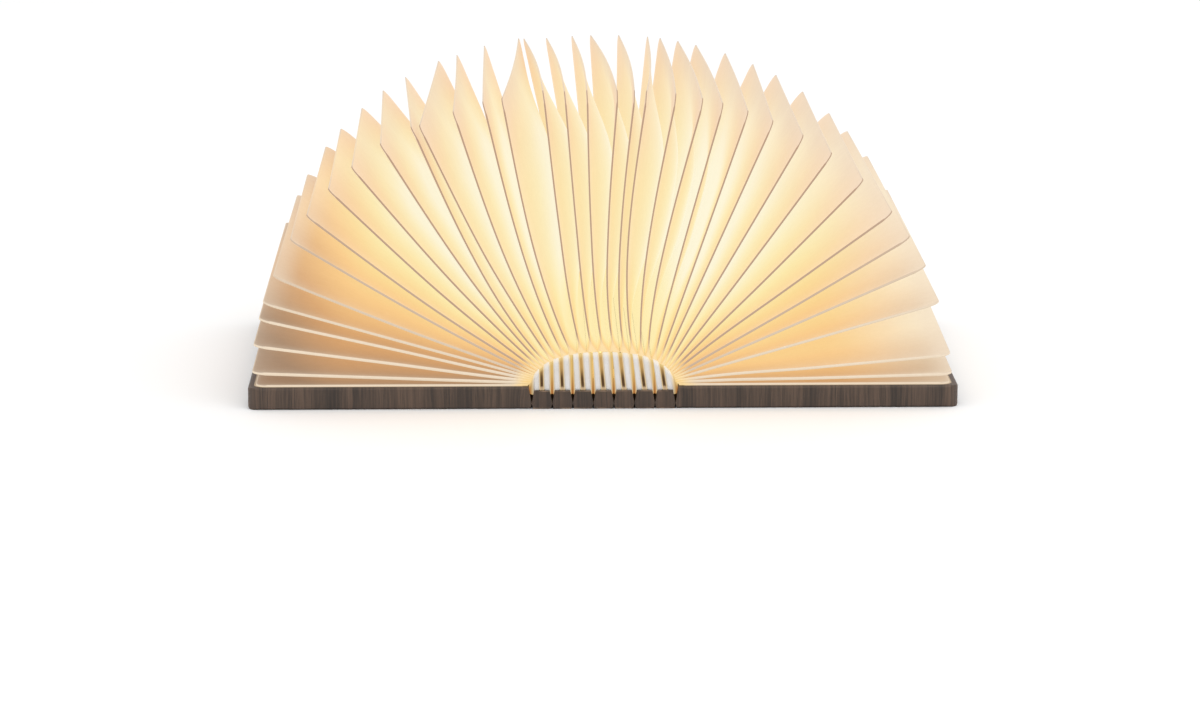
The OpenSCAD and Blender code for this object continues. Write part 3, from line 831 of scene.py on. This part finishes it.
def makeRibPaper():
    material, tree, shader = openMaterial("ribPaper")
    p = ribPaper
    fold = attributeWire(tree, "fold")
    inner = attributeWire(tree, "inner")
    rise = attributeWire(tree, "rise")
    fibre = useGroup(tree, paperFibre, Vector=objectCoords(tree), Scale=p["fibreScale"],
                     Cloud_Scale=p["cloudScale"])
    # painted shade low in the gap within each pair, painted glow in the gap between pairs; both brighten
    # upwards
    innerGlow = mixColor(tree, rise.ramp(2.5, 6.5), p["innerLowShade"], p["innerHigh"])
    outerGlow = mixColor(tree, rise.ramp(-1.5, 6.0), p["outerLow"], p["outerHigh"])
    valley = mixColor(tree, inner, outerGlow, innerGlow)
    foot = (1.0 - rise.ramp(0.5, 0.8)) * inner
    valley = mixColor(tree, foot, valley, p["foot"])
    side = mixColor(tree, fold.ramp(0.5, 0.95), p["side"], valley)
    glow = mixColor(tree, fold.ramp(0.10, 0.60), p["front"], side)
    # a painted glow along the rib tops
    topShare = (1.0 - attributeWire(tree, "toTop").ramp(0.0, 1.6)) * (0.25 + 0.6 * fold)
    glow = mixColor(tree, topShare, glow, p["top"])
    plug(tree, shader.inputs["Emission Color"], glow)
    shader.inputs["Emission Strength"].default_value = p["strength"]
    # painted shade: the valleys get a dark base colour
    body = mixColor(tree, fold.ramp(0.15, 0.75), p["base"], p["valleyShadeBase"])
    tint = mixColor(tree, wireOf(fibre, "Clouds").ramp(0.3, 0.7), p["tintLow"], (1, 1, 1, 1))
    plug(tree, shader.inputs["Base Color"], mixColor(tree, 1.0, body, tint, "MULTIPLY"))
    shader.inputs["Roughness"].default_value = p["roughness"]
    addBump(tree, shader, wireOf(fibre, "Fibres"), p["bump"], p["bumpDepth"])
    return material


def slatCentre(k):
    return (k - middleSlat) * lamp["slatPitch"]


def slatBody(k):
    return "spine_middle" if k == middleSlat else f"slat_{k}"


def makePleats(material):
    tree = makePleatTree()
    flank = flankWidth(lamp["slatHeight"])
    for side, facing in (("front", -1.0), ("back", 1.0)):
        for k in range(1, lamp["slatCount"] + 1):
            # the ribs lean more and more from left to right
            place = 2 * (k - 1) / (2 * lamp["slatCount"] - 1)
            step = 1 / (2 * lamp["slatCount"] - 1)
            spread = pleats["leanLast"] - pleats["leanFirst"]
            values = {
                "Centre X": slatCentre(k), "Half Width": pleats["halfWidth"],
                "Half Top": lamp["slatPitch"] / 2 - flank, "Spacing": pleats["spacing"],
                "Rib Width": pleats["ribWidth"], "Side Width": pleats["sideWidth"],
                "Depth": pleats["wallDepth"], "Front Y": pleats["frontY"],
                "Wall": pleats["backThickness"], "Slat Top": lamp["slatHeight"],
                "Foot": pleats["footHeight"], "Dome A": pleats["topA"], "Dome B": pleats["topB"],
                "Scallop": pleats["scallop"], "Left End": pleats["endReach"] if k == 1 else 0.0,
                "Right End": pleats["endReach"] if k == lamp["slatCount"] else 0.0,
                "Groove Drop": pleats["grooveDrop"], "First Lean": pleats["leanFirst"] + spread * place,
                "Second Lean": pleats["leanFirst"] + spread * (place + step), "Facing": facing,
                "Cells Wide": pleats["cellsWide"], "Cells High": pleats["cellsHigh"], "Material": material,
            }
            piece = growPiece(f"pleat_{side}_{k}", tree, values)
            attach(piece, slatBody(k))
            if k == middleSlat:
                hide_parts(f"gusset_{side}")
            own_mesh(piece)
    print("end walls made: 14 pairs of ribs")


# hinge cloth and flat cable, in one band for each hinge line of the spine
strips = {
    "clothThickness": 0.3,
    "clothDepth": 120.0,
    "clothTail": 3.0,
    "cableY": 40.15,
    "cableWidth": 6.0,
    "cableThickness": 0.15,
    "cableEnd": 62.775,
    "bendReach": 1.2,
    "cells": 8,
}


def makeStrip(name, startX, endX, lowY, highY, lowZ, highZ, material):
    # a closed thin band with cells along X
    shape = bmesh.new()
    rings = []
    for i in range(strips["cells"] + 1):
        x = startX + (endX - startX) * i / strips["cells"]
        corners = [(lowY, lowZ), (highY, lowZ), (highY, highZ), (lowY, highZ)]
        rings.append([shape.verts.new((x * mm, y * mm, z * mm)) for y, z in corners])
    for first, second in zip(rings, rings[1:]):
        for i in range(4):
            shape.faces.new((first[i], first[(i + 1) % 4], second[(i + 1) % 4], second[i]))
    shape.faces.new(rings[0])
    shape.faces.new(list(reversed(rings[-1])))
    bmesh.ops.recalc_face_normals(shape, faces=shape.faces)
    mesh = bpy.data.meshes.new(name)
    shape.to_mesh(mesh)
    shape.free()
    mesh.materials.append(material)
    piece = bpy.data.objects.new(name, mesh)
    bpy.context.scene.collection.objects.link(piece)
    return piece


def makeHingeStrips(cloth, film):
    thick = strips["clothThickness"] / 2
    top = lamp["hingeHeight"] + thick
    last = lamp["slatCount"] + 1
    lowY = strips["cableY"] - strips["cableWidth"] / 2
    highY = strips["cableY"] + strips["cableWidth"] / 2
    halfCable = strips["cableThickness"] / 2
    for k in range(1, last + 1):
        hingeX = slatCentre(k) - lamp["slatPitch"] / 2
        startX = hingeX - (lamp["slatPitch"] / 2 if k > 1 else strips["clothTail"])
        endX = hingeX + (lamp["slatPitch"] / 2 if k < last else strips["clothTail"])
        half = strips["clothDepth"] / 2
        band = makeStrip(f"cloth_{k}", startX, endX, -half, half, lamp["hingeHeight"] - thick, top, cloth)
        bend = {"start": ((hingeX - strips["bendReach"]) * mm, 0, lamp["hingeHeight"] * mm),
                "end": ((hingeX + strips["bendReach"]) * mm, 0, lamp["hingeHeight"] * mm)}
        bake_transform(band)
        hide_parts("spine_lining")
        if k > middleSlat:
            farX = endX if k < last else strips["cableEnd"]
            ribbon = makeStrip(f"cable_{k - middleSlat}", max(startX, -halfCable), farX, lowY, highY,
                               top, top + strips["cableThickness"], film)
            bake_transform(ribbon)
            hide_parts("flex_cable")
    upright = makeStrip("cable_up", -halfCable, halfCable, lowY, highY, top, lamp["slatHeight"], film)
    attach(upright, "spine_middle")
    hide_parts("flex_cable")
    print("hinge cloth and cable made")


# plain finishes for what the CAD model already shapes, and for the strips
plain = {
    # the liner paper's glow is painted light from the lamp inside; the strip and the diffuser glow as parts
    # of the lamp
    "linerPaper": {"base": color(196, 180, 156), "roughness": 0.8, "glow": color(58, 48, 36)},
    "stripPlastic": {"base": color(230, 220, 190), "roughness": 0.5, "glow": color(255, 220, 150)},
    "milkDiffuser": {"base": color(235, 225, 205), "roughness": 0.4, "glow": color(255, 214, 140)},
    "hingeCloth": {"base": color(70, 50, 40), "roughness": 0.9},
    "amberFilm": {"base": color(190, 120, 40), "roughness": 0.35},
    "foil": {"base": color(190, 192, 196), "roughness": 0.35, "metallic": 1.0},
    "boardGreen": {"base": color(24, 92, 56), "roughness": 0.4},
    "socketSteel": {"base": color(190, 190, 190), "roughness": 0.3, "metallic": 1.0},
    "switchGlass": {"base": color(140, 180, 160), "roughness": 0.2},
    "magnetPlate": {"base": color(196, 196, 196), "roughness": 0.2, "metallic": 1.0},
}
plainPattern = {
    "fibreScale": 700.0,
    "cloudScale": 120.0,
    "speckle": 0.08,
    "roughSpread": 0.1,
    "bump": 0.15,
    "bumpDepth": 0.00005,
}


def makePlainFinish(name):
    look = plain[name]
    p = plainPattern
    material, tree, shader = openMaterial(name)
    fibre = useGroup(tree, paperFibre, Vector=objectCoords(tree), Scale=p["fibreScale"],
                     Cloud_Scale=p["cloudScale"])
    dark = tuple(value * (1 - p["speckle"]) for value in look["base"][:3]) + (1.0,)
    plug(tree, shader.inputs["Base Color"], mixColor(tree, wireOf(fibre, "Clouds"), dark, look["base"]))
    rough = wireOf(fibre, "Fibres") * p["roughSpread"] + (look["roughness"] - p["roughSpread"] / 2)
    plug(tree, shader.inputs["Roughness"], rough)
    shader.inputs["Metallic"].default_value = look.get("metallic", 0.0)
    # glow: the lamp's own light on the strip and diffuser, painted light on the liner
    if "glow" in look:
        shader.inputs["Emission Color"].default_value = look["glow"]
        shader.inputs["Emission Strength"].default_value = 1.0
    addBump(tree, shader, wireOf(fibre, "Fibres"), p["bump"], p["bumpDepth"])
    return material


def dressNodes(material, names):
    for name in names:
        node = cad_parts[name]
        node.data.materials.clear()
        node.data.materials.append(material)


paper = makeLeafPaper()
dressNodes(makeWalnut("walnutCover", lamp["coverHeight"], walnut["light"]),
           ["left_cover_board", "right_cover_board"])
dressNodes(makeWalnut("walnutSlat", lamp["slatHeight"], walnut["slatLight"]),
           [f"slat_{k}" for k in range(1, lamp["slatCount"] + 1)])
dressNodes(makePlainFinish("linerPaper"), ["left_liner", "right_liner"])
makePleats(makeRibPaper())
dressNodes(makePlainFinish("stripPlastic"), ["led_strip"])
dressNodes(makePlainFinish("milkDiffuser"), ["light_diffuser"])
makeHingeStrips(makePlainFinish("hingeCloth"), makePlainFinish("amberFilm"))
dressNodes(makePlainFinish("foil"), ["battery"])
dressNodes(makePlainFinish("boardGreen"), ["control_board"])
dressNodes(makePlainFinish("socketSteel"), ["charging_socket"])
dressNodes(makePlainFinish("switchGlass"), ["lid_switch"])
dressNodes(makePlainFinish("magnetPlate"), ["left_magnets", "right_magnets"])
print("covers, slats and inner parts finished")
makeLeaves(paper)


# floor, light and camera; places are in metres
studio = {
    "floorSize": 6.0,
    "floorHeight": -0.0001,
    "floor": (0.95, 0.95, 0.95, 1),
    "floorRough": 0.9,
    "lightPlace": (0.3, -0.5, 1.2),
    "lightSize": 1.2,
    "lightPower": 4.0,
    "world": 1.0,
    "camera": (-0.0246, -1.194, 0.256),
    "cameraTurn": (77.88, 0.0, -1.193),
    "lens": 126.75,
    "sensor": 36.0,
}


def makeFloor():
    half = studio["floorSize"] / 2
    mesh = bpy.data.meshes.new("floor")
    corners = [(-half, -half), (half, -half), (half, half), (-half, half)]
    mesh.from_pydata([corner + (studio["floorHeight"],) for corner in corners], [], [(0, 1, 2, 3)])
    floor = bpy.data.objects.new("floor", mesh)
    bpy.context.scene.collection.objects.link(floor)
    material, _, shader = openMaterial("floorPaper")
    shader.inputs["Base Color"].default_value = studio["floor"]
    shader.inputs["Roughness"].default_value = studio["floorRough"]
    mesh.materials.append(material)


def addTopLight():
    # a soft light that looks at the middle of the lamp's foot
    light = bpy.data.lights.new("softTop", "AREA")
    light.size = studio["lightSize"]
    light.energy = studio["lightPower"]
    lightObject = bpy.data.objects.new("softTop", light)
    lightObject.location = studio["lightPlace"]
    lightObject.rotation_euler = (-Vector(studio["lightPlace"])).to_track_quat("-Z", "Y").to_euler()
    bpy.context.scene.collection.objects.link(lightObject)


def makeStudio():
    scene = bpy.context.scene
    world = bpy.data.worlds.new("studio")
    scene.world = world
    world.use_nodes = True
    background = world.node_tree.nodes["Background"]
    background.inputs["Color"].default_value = (1, 1, 1, 1)
    background.inputs["Strength"].default_value = studio["world"]
    makeFloor()
    addTopLight()
    camera = bpy.data.cameras.new("camera")
    camera.lens = studio["lens"]
    camera.sensor_width = studio["sensor"]
    camera.sensor_fit = "HORIZONTAL"
    camera.clip_start = 0.01
    camera.clip_end = 20
    cameraObject = bpy.data.objects.new("camera", camera)
    cameraObject.location = studio["camera"]
    cameraObject.rotation_euler = [math.radians(angle) for angle in studio["cameraTurn"]]
    scene.collection.objects.link(cameraObject)
    scene.camera = cameraObject
    scene.view_settings.view_transform = "Standard"
    scene.view_settings.look = "None"
    print("studio ready")


makeStudio()
